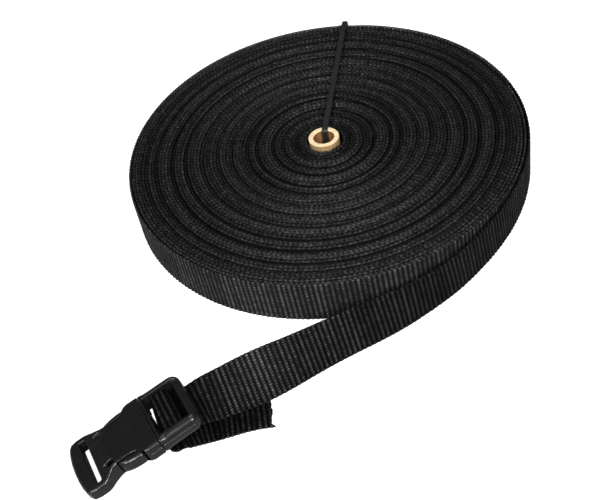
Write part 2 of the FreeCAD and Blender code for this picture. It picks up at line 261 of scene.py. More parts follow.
def webbing(name, ribbon, first, last, thick=1.5, depth=0.56, rib_steps=6, full_back=True,
            leaves_roll=1e6, trim=None, width_scale=None):
    """Woven strip between two lengths (in whole ribs), ribs standing out on both faces.

    leaves_roll is the length where the strip leaves the roll, by default far beyond it.
    """
    first_rib, last_rib = round(first / PITCH), round(last / PITCH)
    stations = np.arange((last_rib - first_rib) * rib_steps + 1) * (PITCH / rib_steps)
    stations = stations + first_rib * PITCH
    columns = ENDS * BEAD_STEPS
    face = (np.arange(1, columns) / columns - 0.5) * WIDTH
    back = face if full_back else face[:: BEAD_STEPS * 4]
    # section: one face, far edge, other face reversed, near edge
    turn_over = np.array([0.55, 0.0, -0.55])
    across = np.concatenate([face, [HALF] * 3, back[::-1], [-HALF] * 3])[None, :]
    level = np.concatenate([np.ones(len(face)), turn_over, -np.ones(len(back)), -turn_over])

    lean = rib_lean(stations - leaves_roll)[:, None]
    along = stations[:, None] + lean * across
    if trim is not None:
        along = trim(stations[:, None], across, along)
    phase = (along - lean * across) / PITCH
    across = np.broadcast_to(across, along.shape)
    level = np.broadcast_to(level[None, :], along.shape)
    on_edge = np.abs(across) == HALF

    weave = relief(phase, across)
    selvedge = relief(phase, np.sign(across) * 12.15)
    half = thick / 2
    inset = np.clip((HALF - np.abs(across)) / 0.9, 0, 1)
    crown = np.sqrt(np.clip(1 - (1 - inset) ** 2, 0, 1)) * 0.45 + 0.55
    height = np.where(
        on_edge,
        level * half * 0.62 * (0.8 + 0.2 * selvedge),
        np.sign(level) * (half - depth * (1 - weave)) * crown,
    )
    edge_at = HALF - 0.30 * (1 - selvedge) - 0.12 * np.abs(level)
    out = np.where(on_edge, np.sign(across) * edge_at, across)
    if width_scale is not None:
        out = out * width_scale(along)
    centre, sideways, normal = ribbon.at(along)
    points = centre + sideways * out[..., None] + normal * height[..., None]

    # some floats catch more light than others, rib by rib and end by end
    rib, end = weave_cell(phase, across)
    uneven = 0.80 + 0.32 * scatter(rib * 5.3)
    uneven = uneven + 0.16 * (scatter(rib * 2.9 + np.floor(end) * 3.7) - 0.5)
    # painted shade: the colour factor follows the weave relief, darker in the grooves and at low points
    # of the turned-over edges
    shade = np.where(on_edge, 0.35 + 0.5 * selvedge, weave) * uneven
    quads = tube_quads(*along.shape)[:, ::-1]
    return build(name, points, quads, {"strip": np.stack([along, across, shade], -1)})


# ------------------------------------------------------------------ signed-distance solids
def polygon(x, y, points):
    """Signed distance to a polygon."""
    x, y = np.broadcast_arrays(x, y)
    nearest = np.full(x.shape, 1e18)
    sign = np.ones(x.shape)
    for i in range(len(points)):
        start_x, start_y = points[i]
        end_x, end_y = points[i - 1]
        side_x, side_y = end_x - start_x, end_y - start_y
        from_x, from_y = x - start_x, y - start_y
        t = (from_x * side_x + from_y * side_y) / (side_x * side_x + side_y * side_y + 1e-12)
        t = np.clip(t, 0, 1)
        gap = (from_x - side_x * t) ** 2 + (from_y - side_y * t) ** 2
        nearest = np.minimum(nearest, gap)
        above, below = y >= start_y, y < end_y
        left = side_x * from_y > side_y * from_x
        crosses = (above & below & left) | (~above & ~below & ~left)
        sign = np.where(crosses, -sign, sign)
    return sign * np.sqrt(nearest)


def rounded_corner(a, b, radius):
    outside = np.hypot(np.maximum(a, 0), np.maximum(b, 0))
    return np.minimum(np.maximum(a, b), 0) + outside - radius


def extrude(outline, z, half, edge):
    """Outline distance extruded to |z| <= half, edges rounded by edge."""
    return rounded_corner(outline + edge, np.abs(z) - half + edge, edge)


def rectangle(x, y, span_x, span_y, corner=0.0):
    a = np.abs(x - (span_x[0] + span_x[1]) / 2) - (span_x[1] - span_x[0]) / 2 + corner
    b = np.abs(y - (span_y[0] + span_y[1]) / 2) - (span_y[1] - span_y[0]) / 2 + corner
    return rounded_corner(a, b, corner)


def merge(first, second, fillet):
    near = np.maximum(fillet - np.abs(first - second), 0) / fillet
    return np.minimum(first, second) - near * near * fillet * 0.25


def carve(solid, tool, fillet):
    return -merge(-solid, tool, fillet)


def surface(field, low, high, step):
    """Surface nets of a signed-distance field, with the vertices moved onto the surface."""
    axes = [np.arange(low[i], high[i] + step, step) for i in range(3)]
    values = np.broadcast_to(
        field(axes[0][:, None, None], axes[1][None, :, None], axes[2][None, None, :]),
        tuple(len(axis) for axis in axes),
    )
    values = np.where(np.abs(values) < 1e-7, 1e-7, values)
    inside = values < 0
    size = np.array(values.shape) - 1
    corners = [np.array((i, j, k)) for i in (0, 1) for j in (0, 1) for k in (0, 1)]
    total = sum(
        inside[i : size[0] + i, j : size[1] + j, k : size[2] + k].astype(np.int8)
        for i, j, k in corners
    )
    cells = np.argwhere((total > 0) & (total < 8))
    index = np.full(tuple(size), -1, np.int64)
    index[tuple(cells.T)] = np.arange(len(cells))

    # one vertex per crossed cell, at the mean of its edge crossings
    crossings = np.zeros((len(cells), 3))
    count = np.zeros(len(cells))
    for start in corners:
        for axis in range(3):
            if start[axis]:
                continue
            end = start.copy()
            end[axis] = 1
            at_start = values[tuple((cells + start).T)]
            at_end = values[tuple((cells + end).T)]
            hit = (at_start < 0) != (at_end < 0)
            t = np.where(hit, at_start / np.where(hit, at_start - at_end, 1), 0)
            point = cells + start + (end - start) * t[:, None]
            crossings[hit] += point[hit]
            count[hit] += 1
    points = crossings / count[:, None] * step + np.array(low)

    # one quad round each crossed grid edge
    quads = []
    for axis in range(3):
        side1, side2 = (axis + 1) % 3, (axis + 2) % 3
        before, after = [slice(1, -1)] * 3, [slice(1, -1)] * 3
        before[axis], after[axis] = slice(0, -1), slice(1, None)
        starts_in, ends_in = inside[tuple(before)], inside[tuple(after)]
        edges = np.argwhere(starts_in != ends_in)
        keep = starts_in[tuple(edges.T)]
        unit1, unit2 = np.eye(3, dtype=int)[[side1, side2]]
        ring = (0 * unit1, unit1, unit1 + unit2, unit2)
        quad = np.stack([index[tuple((edges + offset).T)] for offset in ring], -1)
        quad[~keep] = quad[~keep][:, ::-1]
        quads.append(quad)

    probe = 0.02
    for _ in range(3):
        x, y, z = points.T
        distance = field(x, y, z)
        slope = np.stack(
            [
                (field(x + probe, y, z) - field(x - probe, y, z)) / (2 * probe),
                (field(x, y + probe, z) - field(x, y - probe, z)) / (2 * probe),
                (field(x, y, z + probe) - field(x, y, z - probe)) / (2 * probe),
            ],
            -1,
        )
        move = slope * (distance / np.maximum((slope * slope).sum(1), 0.2))[:, None]
        far = np.maximum(np.linalg.norm(move, axis=1), 1e-9)
        points = points - move * np.minimum(1, 0.4 * step / far)[:, None]
    return points, np.concatenate(quads)


# ------------------------------------------------------------------ materials
class Shader:
    """A material with one Principled surface, and the node steps used to feed it."""

    def __init__(self, name):
        self.material = bpy.data.materials.new(name)
        self.material.use_nodes = True
        self.tree = self.material.node_tree
        self.tree.nodes.clear()
        output = self.node("OutputMaterial")
        self.principled = self.node("BsdfPrincipled")
        self.tree.links.new(self.principled.outputs[0], output.inputs[0])

    def node(self, kind):
        return self.tree.nodes.new("ShaderNode" + kind)

    def feed(self, socket, value):
        """Set a socket to a number or an RGB tuple, or link it."""
        if isinstance(value, tuple):
            socket.default_value = (*value, 1)
        elif isinstance(value, (int, float)):
            socket.default_value = value
        else:
            self.tree.links.new(value, socket)

    def set(self, **inputs):
        """Principled inputs by name, underscores for spaces."""
        for name, value in inputs.items():
            self.feed(self.principled.inputs[name.replace("_", " ")], value)

    def attribute(self, name):
        node = self.node("Attribute")
        node.attribute_name = name
        return node.outputs["Vector"]

    def noise(self, vector, stretch, detail, rough):
        mapping = self.node("Mapping")
        mapping.inputs["Scale"].default_value = stretch
        self.feed(mapping.inputs[0], vector)
        node = self.node("TexNoise")
        node.inputs["Scale"].default_value = 1.0
        node.inputs["Detail"].default_value = detail
        node.inputs["Roughness"].default_value = rough
        self.feed(node.inputs["Vector"], mapping.outputs[0])
        return node.outputs[0]

    def ramp(self, value, stops):
        """Grey ramp; stops are (position, brightness)."""
        node = self.node("ValToRGB")
        elements = node.color_ramp.elements
        while len(elements) < len(stops):
            elements.new(0.5)
        for element, (position, grey) in zip(elements, stops):
            element.position = position
            element.color = (grey, grey, grey, 1)
        self.feed(node.inputs[0], value)
        return node.outputs[0]

    def math(self, operation, first, second, clamp=False):
        node = self.node("Math")
        node.operation = operation
        node.use_clamp = clamp
        self.feed(node.inputs[0], first)
        self.feed(node.inputs[1], second)
        return node.outputs[0]

    def times(self, value, by, clamp=False):
        return self.math("MULTIPLY", value, by, clamp)

    def scaled(self, value, gain, offset):
        return self.math("ADD", self.times(value, gain), offset)

    def less(self, value, start, gain, clamp=False):
        """start - gain * value"""
        return self.math("SUBTRACT", start, self.times(value, gain), clamp)

    def mix(self, factor, first, second, blend="MIX"):
        node = self.node("Mix")
        node.data_type = "RGBA"
        node.blend_type = blend
        for socket, value in ((0, factor), (6, first), (7, second)):
            self.feed(node.inputs[socket], value)
        return node.outputs[2]

    def bump(self, height, strength, distance, normal=None):
        node = self.node("Bump")
        node.inputs["Strength"].default_value = strength
        node.inputs["Distance"].default_value = distance
        self.feed(node.inputs["Height"], height)
        if normal is not None:
            self.feed(node.inputs["Normal"], normal)
        return node.outputs[0]


def webbing_material(name, dark, light, rough, speck, painted_glint_part):
    """Black multifilament yarn: fine fibre streaks along each float, painted shade darkening the
    grooves, bright specks painted in as glints.
    """
    mat = Shader(name)
    strip = mat.attribute("strip")
    split = mat.node("SeparateXYZ")
    mat.feed(split.inputs[0], strip)
    fibre = mat.noise(strip, stretch=(0.55, 7.0, 1.0), detail=3.0, rough=0.6)
    grain = mat.noise(strip, stretch=(0.95, 1.25, 1.0), detail=3.0, rough=0.65)
    patch = mat.noise(strip, stretch=(0.035, 0.06, 0.0), detail=2.0, rough=0.5)
    # the third strip value is painted shade: low in grooves, turn flanks and sunk turns, and this ramp
    # darkens the colour there
    shade = mat.ramp(split.outputs[2], stops=[(0.10, 0.05), (0.50, 0.16), (0.95, 1.0)])
    # bright specks painted into the base colour as glints
    fleck = mat.ramp(grain, stops=[(0.40, 0.10), (0.64, 1.0)])
    shade = mat.times(shade, mat.scaled(fibre, gain=0.9, offset=0.35))
    shade = mat.times(shade, mat.scaled(fleck, gain=painted_glint_part, offset=1.0 - painted_glint_part))
    shade = mat.times(shade, mat.scaled(patch, gain=0.9, offset=0.55), clamp=True)
    mat.set(Base_Color=mat.mix(shade, dark, light))
    mat.set(Roughness=mat.less(grain, start=rough + 0.12, gain=0.24))
    # fibres shade one another when seen edge on
    facing = mat.node("LayerWeight")
    facing.inputs[0].default_value = 0.5
    away = mat.less(facing.outputs["Facing"], start=1.15, gain=1.25, clamp=True)
    gloss = mat.times(mat.times(shade, away), by=1.0)
    mat.set(Specular_IOR_Level=gloss)
    normal = mat.bump(fibre, strength=0.6, distance=0.00025)
    normal = mat.bump(grain, strength=speck, distance=0.0004, normal=normal)
    mat.set(Normal=normal, Coat_Weight=mat.times(gloss, by=0.9))
    mat.set(Coat_Roughness=rough - 0.04, Coat_Normal=normal)
    return mat.material


def plastic_material(name, color, rough, spec):
    """Moulded black plastic: faint flow marks, fine texture, rubbed edges."""
    mat = Shader(name)
    rest = mat.attribute("rest")
    flow = mat.noise(rest, stretch=(0.12, 0.2, 0.2), detail=3.0, rough=0.55)
    fine = mat.noise(rest, stretch=(2.6, 2.6, 2.6), detail=3.0, rough=0.6)
    scuff = mat.noise(rest, stretch=(0.9, 0.25, 0.9), detail=5.0, rough=0.75)
    geometry = mat.node("NewGeometry")
    wear = mat.ramp(geometry.outputs["Pointiness"], stops=[(0.50, 0.0), (0.56, 1.0)])
    wear = mat.times(wear, mat.ramp(scuff, stops=[(0.42, 0.0), (0.62, 1.0)]))
    darker, lighter = (tuple(c * gain for c in color) for gain in (0.75, 1.35))
    rubbed = tuple(c * 2.6 + 0.006 for c in color)
    base = mat.mix(flow, darker, lighter)
    mat.set(Base_Color=mat.mix(mat.times(wear, by=0.5), base, rubbed))
    roughness = mat.scaled(flow, gain=0.16, offset=rough - 0.08)
    roughness = mat.math("ADD", roughness, mat.times(wear, by=0.12))
    mat.set(Roughness=roughness, Specular_IOR_Level=spec)
    normal = mat.bump(fine, strength=0.22, distance=0.00006)
    mat.set(Normal=mat.bump(flow, strength=0.25, distance=0.0004, normal=normal))
    return mat.material


def paper_material():
    mat = Shader("kraft_paper")
    tint = mat.attribute("tint")
    rest = mat.attribute("rest")
    fleck = mat.noise(rest, stretch=(1.4, 1.4, 1.1), detail=5.0, rough=0.7)
    fine = mat.noise(rest, stretch=(4.0, 4.0, 2.0), detail=4.0, rough=0.7)
    shade = mat.ramp(fleck, stops=[(0.25, 0.62), (0.5, 0.95), (0.8, 1.12)])
    mat.set(Base_Color=mat.mix(1.0, tint, shade, blend="MULTIPLY"))
    mat.set(Roughness=0.85, Specular_IOR_Level=0.2)
    mat.set(Normal=mat.bump(fine, strength=0.5, distance=0.00015))
    return mat.material


WEB = webbing_material(
    "webbing_face", dark=(0.0012, 0.0012, 0.0013), light=(0.0150, 0.0152, 0.0158),
    rough=0.38, speck=0.45, painted_glint_part=0.5,
)
# the same webbing painted several times lighter, standing in for light on the roll's outer face
SIDE_PAINTED_LIGHT = webbing_material(
    "webbing_outer_face_painted_light", dark=(0.0062, 0.0062, 0.0064), light=(0.120, 0.1205, 0.1230),
    rough=0.38, speck=0.45, painted_glint_part=0.5,
)
# the same webbing painted about three times lighter, standing in for light on the roll's top edges
EDGE_PAINTED_LIGHT = webbing_material(
    "webbing_edge_painted_light", dark=(0.0036, 0.0036, 0.0037), light=(0.044, 0.0443, 0.0455),
    rough=0.33, speck=1.0, painted_glint_part=0.85,
)
PLASTIC = plastic_material(
    "buckle_moulding", color=(0.0060, 0.0061, 0.0068), rough=0.27, spec=0.40
)
TIE = plastic_material("tie_strip", color=(0.013, 0.013, 0.0135), rough=0.40, spec=0.38)
PAPER = paper_material()


# ------------------------------------------------------------------ rolled turns
def outer_radius(turns):
    """Outer face radius, by turns wound since the core."""
    return END_RADIUS - TURN * (TURNS - turns)


def azimuth(turns):
    return END_AZIMUTH + 360.0 * (TURNS - turns)


def turn_variation():
    """Per turn: height of the top edge, radial shift and sheen."""
    rng = np.random.default_rng(11)
    rng.permutation(4)   # result unused: this draw only fixes the values that follow
    count = int(TURNS) + 6
    tops = np.zeros(count)
    shift = np.zeros(count)
    first = 0
    while first < count:
        size = int(rng.choice([3, 4, 4, 4, 5]))
        low = rng.uniform(0.8, 1.5)
        for j in range(min(size, count - first)):
            if j == 0:
                drop = low
            else:
                drop = rng.uniform(0.0, 0.42) + (0.30 if j in (1, size - 1) else 0.0)
            tops[first + j] = -drop
            # the turns of one group lie tight; the gap opens at the low one
            shift[first + j] = (j - (size - 1) / 2) * -0.06
        first += size
    sheen = rng.uniform(0.0, 1.0, count)
    tops[-4:] = 0.0
    shift[-8:] *= 0.4
    return tops, shift, sheen


TOPS, SHIFT, SHEEN = turn_variation()


def per_turn(turns, values):
    """Value of each turn, changing over just past the tie's azimuth."""
    passed = (TIE_AZIMUTH - azimuth(turns)) / 360.0 + np.ceil(TURNS) + 1
    number = np.floor(passed).astype(int)
    share = ease(passed - number, 0.0, 0.06)
    return values[number] * share + values[number - 1] * (1 - share)


def tie_lift(radius, angle, fades_at):
    """Height of the underside where it clears the tie; it falls to 0 fades_at to the side."""
    angle = angle - TIE_ANGLE
    side = np.abs(radius * np.sin(angle))
    return np.where(np.cos(angle) > 0, TIE_NOTCH * (1 - ease(side, TIE_NOTCH_HALF, fades_at)), 0.0)


# cross-section of a turn: side (in half thicknesses), measured from the top edge or else the
# bottom, rise in mm, and painted shade, falling off down the flanks where neighbouring turns meet
TURN_SECTION = [
    (0.25, True, 0.0, 1.0), (0.66, True, -0.11, 0.9), (0.94, True, -0.34, 0.65),
    (1.0, True, -0.75, 0.25), (1.0, False, 0.55, 0.2), (0.55, False, 0.0, 0.8),
    (-0.55, False, 0.0, 0.8), (-1.0, False, 0.55, 0.2), (-1.0, True, -0.75, 0.25),
    (-0.94, True, -0.34, 0.65), (-0.66, True, -0.11, 0.9), (-0.25, True, 0.0, 1.0),
]


def turns_piece(name, start, end):
    """Turns start to end of the roll: a strip on edge, its upper selvedge beaded by the weft."""
    fine = np.linspace(start, end, int((end - start) * 400) + 2)
    radii = outer_radius(fine) - ROLL_FACE_TO_MID
    arcs = np.diff(fine) * 2 * np.pi * (radii[1:] + radii[:-1]) / 2
    length = np.concatenate([[0], np.cumsum(arcs)])
    # stations at equal lengths
    step = PITCH / 4
    wound = 2 * np.pi * (TURN * start * start / 2 + 9.4 * start)   # 9.4: innermost radius
    count = int(length[-1] / step) + 1
    spaced = np.linspace(0, length[-1], count)
    turns = np.interp(spaced, length, fine)
    along = wound + spaced
    station = np.arange(count) + round(wound / step)
    degrees = azimuth(turns)
    angle = np.radians(degrees)
    phase = along / PITCH
    rib = np.floor(phase)
    bead = np.abs(np.sin(np.pi * (phase + 0.17)))
    bead2 = np.abs(np.sin(np.pi * (phase + 0.5)))
    jitter = scatter(rib) - 0.5

    level = per_turn(turns, TOPS)
    top = WIDTH + level + 0.16 * wave(degrees / 47.0 + 13.0 * turns, 3)
    top = top + 0.07 * wave(degrees / 11.0 + 31.0 * turns, 5)
    top = top - 0.34 * (1 - bead) + 0.30 * jitter
    half = 0.85 + 0.07 * bead2 + 0.07 * jitter
    middle = outer_radius(turns) - ROLL_FACE_TO_MID + per_turn(turns, SHIFT)
    middle = middle + 0.10 * (scatter(rib + 0.5) - 0.5)
    bottom = tie_lift(middle, angle, fades_at=3.6) + 0.02
    # colour factor: random tone per turn and per rib, with painted shade making sunk turns and the dips
    # between weft beads darker
    turn_shade = 0.78 + 0.30 * per_turn(turns, SHEEN)
    turn_shade = turn_shade * (1 - 0.45 * np.clip(-level - 0.35, 0, 1))
    turn_shade = turn_shade * (0.40 + 0.60 * bead) * (0.85 + 0.3 * scatter(rib * 1.9))

    points = np.zeros((count, len(TURN_SECTION), 3))
    strip = np.zeros_like(points)
    for j, (side, from_top, rise, shade) in enumerate(TURN_SECTION):
        z = (top if from_top else bottom) + rise
        if from_top and abs(side) < 1:
            # the two bead rows sit half a bead apart; single filaments stand up or pull in
            z = z + 0.10 * (bead2 - bead) * np.sign(side)
            z = z + 0.17 * (scatter(station * 1.3 + j * 17.7) - 0.5)
        points[:, j] = polar(middle + side * half, angle, z)
        strip[:, j, 0] = along
        strip[:, j, 1] = side * half * 1.6 + 12.0
        strip[:, j, 2] = shade * turn_shade
    return build(name, points, tube_quads(count, len(TURN_SECTION)), {"strip": strip})


# pieces of the roll meet at these turns; the last slightly overlaps the outermost turn
CUTS = [0.0, 19.4, 29.2, 36.7, 43.1, 48.75, TURNS - 1.0 + 0.0032]
for i, (start, end) in enumerate(zip(CUTS, CUTS[1:]), 1):
    piece = turns_piece("webbing_turns_%d" % i, start, end)
    finish_piece(piece, EDGE_PAINTED_LIGHT, ("webbing_coil",), body="coil")


def outermost_turn():
    """The last full turn, whose woven outer face shows, in two pieces; returns its length."""
    turns = np.linspace(TURNS - 1.0, TURNS, int((TURNS - (TURNS - 1.0)) * 180) + 2)
    radius = outer_radius(turns) - FACE_TO_MID
    angle = np.radians(azimuth(turns))
    near = polar(radius, angle, tie_lift(radius, angle, fades_at=3.6) + 0.05)
    far = polar(radius, angle, WIDTH)
    ribbon = Ribbon(near, far)
    # end on a whole rib
    ribbon.length = ribbon.length + (round(ribbon.end / PITCH) * PITCH - ribbon.end)
    end = round(ribbon.end / PITCH) * PITCH
    # the strip narrows to clear the tie
    width = np.linalg.norm(far - near, axis=1)
    width_at = np.linspace(ribbon.length[0], ribbon.end, len(turns))
    around = 2 * np.pi * (outer_radius(TURNS - 0.5) - FACE_TO_MID)
    middle = round(around / PITCH / 2) * PITCH
    for i, (first, last) in enumerate(((0.0, middle), (middle, end)), 1):
        piece = webbing(
            "webbing_outer_turn_%d" % i, ribbon, first, last, thick=1.45, rib_steps=5,
            full_back=False, width_scale=lambda along: np.interp(along, width_at, width) / WIDTH,
        )
        finish_piece(piece, SIDE_PAINTED_LIGHT, ("webbing_coil",), body="coil")
    return end


RUN_START = outermost_turn()

# ------------------------------------------------------------------ loose part-turn and free run
# azimuth, outer face radius
LOOSE_ARC = [
    (END_AZIMUTH, END_RADIUS), (2.0, 110.80), (-5.0, 110.85), (-13.0, 110.95), (-21.0, 111.1),
    (-30.0, 111.35), (-39.0, 111.9), (-46.0, 112.6), (-51.5, 113.45),
]
# x, y, z of the near (lower) edge, then of the far (upper) edge
FREE_RUN = [
    (64.17, -93.7, 0.05, 64.17, -93.7, 25.0),
    (54.2, -101.9, 0.05, 54.2, -101.9, 25.0),
    (45.0, -108.4, 0.05, 45.0, -108.2, 25.0),
    (36.2, -113.6, 0.1, 36.4, -112.8, 25.0),
    (27.6, -118.3, 0.15, 27.9, -116.3, 25.0),
    (20.8, -121.9, 0.36, 20.92, -118.8, 25.08),
    (11.48, -126.3, 0.75, 10.43, -122.0, 25.33),
    (1.51, -130.2, 1.07, 0.16, -124.9, 25.46),
    (-8.61, -133.94, 1.39, -10.16, -127.49, 25.5),
    (-18.52, -137.89, 1.84, -20.51, -130.12, 25.53),
    (-28.24, -142.44, 2.55, -30.92, -132.95, 25.53),
    (-37.71, -147.52, 3.67, -41.36, -135.33, 25.16),
    (-47.09, -152.74, 5.37, -51.89, -136.58, 23.74),
    (-56.44, -157.52, 7.7, -62.15, -137.34, 21.19),
    (-66.37, -161.52, 10.18, -72.47, -138.8, 18.53),
    (-76.82, -164.87, 12.2, -82.95, -141.02, 16.5),
]
# into the buckle, round its centre bar and out underneath: buckle x, z, and how much lower the
# near edge hangs
BUCKLE_PATH = [
    (59.8, -3.55, 4.5), (57.6, -3.1, 4.2), (55.4, -2.9, 3.1), (53.6, -2.7, 1.6),
    (52.2, -2.0, 0.7), (51.3, -0.6, 0.2), (50.7, 0.9, 0.0), (49.8, 2.1, 0.0),
    (48.2, 2.6, 0.0), (46.6, 2.65, 0.0), (44.6, 2.5, 0.0), (43.0, 2.1, 0.0),
    (42.0, 1.3, 0.0), (41.5, 0.0, 0.0), (41.3, -2.0, 0.0), (41.1, -4.4, 0.0),
    (41.0, -6.6, 0.0), (41.5, -8.8, 0.8), (42.9, -10.4, 1.4), (44.8, -11.3, 1.7),
]
# the tail's near edge: y as a cubic in x (highest power first), and its stations in x
TAIL_CURVE = (-5.917539e-05, -0.01771163, -1.50108841, -205.183971)
TAIL_X = (-92.0, -89.0, -85.0, -80.0, -74.0, -67.0, -60.0, -53.0)


def free_ribbon():
    near, far = [], []
    for degrees, radius in LOOSE_ARC:
        angle = math.radians(degrees)
        near.append(polar(radius - FACE_TO_MID, angle, 0.05))
        far.append(polar(radius - FACE_TO_MID, angle, WIDTH))
    near += [row[:3] for row in FREE_RUN]
    far += [row[3:] for row in FREE_RUN]
    for x, z, hang in BUCKLE_PATH:
        # the turn sits askew in the slot, its far edge further from the housing
        askew = ease(2.2 - z, 0.0, 1.6) * (x < 43.5)
        near.append(buckle_point(x - 2.6 * askew, -12.4, z - hang))
        far.append(buckle_point(x + 0.7 * askew, HALF, z))
    for x in TAIL_X:
        # the tail comes down to lie flat
        rise = max((-72.0 - x) / 26.0, 0.0)
        flat = ease(x, -96.0, -70.0)
        heading = math.radians(107.0 + (88.0 - 107.0) * flat)
        dip = math.radians(-4.0 * (1 - flat))
        z = 0.85 + 4.4 * rise * rise + 1.0 * (1 - flat)
        edge = np.array([x, np.polyval(TAIL_CURVE, x), z])
        near.append(edge)
        far.append(edge + polar(math.cos(dip), heading, math.sin(dip)) * WIDTH)
    return Ribbon(near, far, RUN_START)


run = free_ribbon()
run_split = round((RUN_START + 223.0) / PITCH) * PITCH
leaves_roll = RUN_START + 123.5
piece = webbing("webbing_free_run", run, RUN_START, run_split, leaves_roll=leaves_roll)
finish_piece(
    piece, WEB, ("outer_wrap", "strap_run"),
    bend=("coil", "free_end", (0.070, -0.088, 0.0125), (0.045, -0.109, 0.0125)),
)


def ragged(stations, across, along):
    """The cut end: a shallow hollow with a torn corner at the near edge."""
    share = across / HALF
    stop = run.end - 1.2 + 2.2 * ease(across, -12.2, -3.0) - 1.6 * (1 - share * share)
    stop = stop + 6.8 * np.clip(-share - 0.75, 0, 1)
    stop = stop + 0.35 * wave(across / 1.1 + 40, 9) + 0.2 * wave(across / 0.5 + 7, 4)
    last = stations.max()
    untrimmed = last + rib_lean(last - leaves_roll) * across
    # stretched over the last stretch of webbing
    reach = 9.0
    return along + (stop - untrimmed) * np.clip((stations - (last - reach)) / reach, 0, 1)


piece = webbing(
    "webbing_buckle_end", run, run_split, round((run.end - 3.0) / PITCH) * PITCH,
    thick=1.4, depth=0.50, leaves_roll=leaves_roll, trim=ragged,
)
FLEX = np.array([-74.6, -151.55, 14.4])    # middle of the bend into the buckle
FLEX_REACH = 12
finish_piece(
    piece, WEB, ("strap_end", "bar_loop", "strap_tail"),
    bend=(
        "free_end", "plug",
        tuple((FLEX + BUCKLE_X * FLEX_REACH) * MM), tuple((FLEX - BUCKLE_X * FLEX_REACH) * MM),
    ),
)

# ------------------------------------------------------------------ paper tube
OUTSIDE, INSIDE = (0.36, 0.245, 0.115), (0.27, 0.125, 0.045)
RIM, RIM_DARK = (0.90, 0.74, 0.47), (0.70, 0.50, 0.27)
TUBE_RADIUS, TUBE_BORE, TUBE_TOP = 8.5, 5.75, 27.0


def paper_tube():
    segments = 180
    # radius, z, tint, up the outside, over the rim and down the bore
    profile = [(TUBE_RADIUS, z, OUTSIDE) for z in np.linspace(0.0, 26.5, 22)]
    profile += [(8.48, 26.72, OUTSIDE), (8.38, 26.9, RIM_DARK)]
    for i, radius in enumerate(np.linspace(8.25, 5.95, 20)):
        sunk = i % 3 == 1
        profile.append((radius, TUBE_TOP - 0.07 * sunk, RIM_DARK if sunk else RIM))
    profile += [(5.82, 26.9, RIM), (TUBE_BORE, 26.7, RIM_DARK)]
    profile += [(TUBE_BORE, z, INSIDE) for z in np.linspace(26.3, 0.0, 24)]
    radius, z, tint = (np.array(column) for column in zip(*profile))
    count = len(profile)
    angle = (np.arange(segments) * 2 * np.pi / segments)[:, None]

    uneven = 0.10 * wave(angle * 4.0, 2) + 0.05 * wave(angle * 17.0 + radius * 3, 8)
    z = z + ease(z, 26.0, TUBE_TOP) * uneven
    radius = radius * (1 + 0.004 * np.sin(2 * angle + 0.7))
    # spiral seam of the outer and inner plies
    seam = np.abs(((angle / (2 * np.pi) + z / 31.0 + 0.35) % 1.0) - 0.5)
    column = np.arange(count)
    wall = (column < 22) | (column > count - 24)
    inward = np.where(column < 24, -1.0, 1.0)
    radius = radius + np.where(wall, inward * 0.07 * np.exp(-((seam / 0.006) ** 2)), 0)
    # the notch underneath that the tie passes through
    z = np.maximum(z, tie_lift(radius, angle, fades_at=2.7) + 0.02)
    tint = tint * (1 + 0.06 * wave(angle * 9 + z * 0.8, 6))[..., None]
    points = polar(radius, angle, z)
    quads = ring_quads(segments, count)
    return build("paper_tube", points, quads, {"tint": tint, "rest": points})


finish_piece(paper_tube(), PAPER, ("core_tube",), body="coil")

# ------------------------------------------------------------------ tie
# corners of the loop in the tie's plane: radius from the roll's axis, z, corner radius
TIE_LOOP = [
    (4.1, 0.92, 1.3), (111.9, 0.92, 1.5), (111.9, 26.9, 2.6), (104.0, 27.5, 6.0), (4.1, 27.8, 1.05),
]
TIE_HALF_WIDTH = 1.55
TIE_HALF_THICK = 0.56


def wrapped(angle):
    return (angle + math.pi) % (2 * math.pi) - math.pi


def rounded(corners, steps=8):
    """Closed outline with an arc at each (x, y, radius) corner."""
    outline = []
    for i, (x, y, radius) in enumerate(corners):
        before_x, before_y, _ = corners[i - 1]
        after_x, after_y, _ = corners[(i + 1) % len(corners)]
        back = math.atan2(before_y - y, before_x - x)
        ahead = math.atan2(after_y - y, after_x - x)
        turn = wrapped(ahead - back)
        half = abs(turn) / 2
        reach = radius / math.tan(half)
        middle = back + turn / 2
        centre_x = x + math.cos(middle) * radius / math.sin(half)
        centre_y = y + math.sin(middle) * radius / math.sin(half)
        start, end = (
            math.atan2(y + math.sin(a) * reach - centre_y, x + math.cos(a) * reach - centre_x)
            for a in (back, ahead)
        )
        sweep = wrapped(end - start)
        for k in range(steps + 1):
            t = start + sweep * k / steps
            outline.append((centre_x + radius * math.cos(t), centre_y + radius * math.sin(t)))
    return np.array(outline)


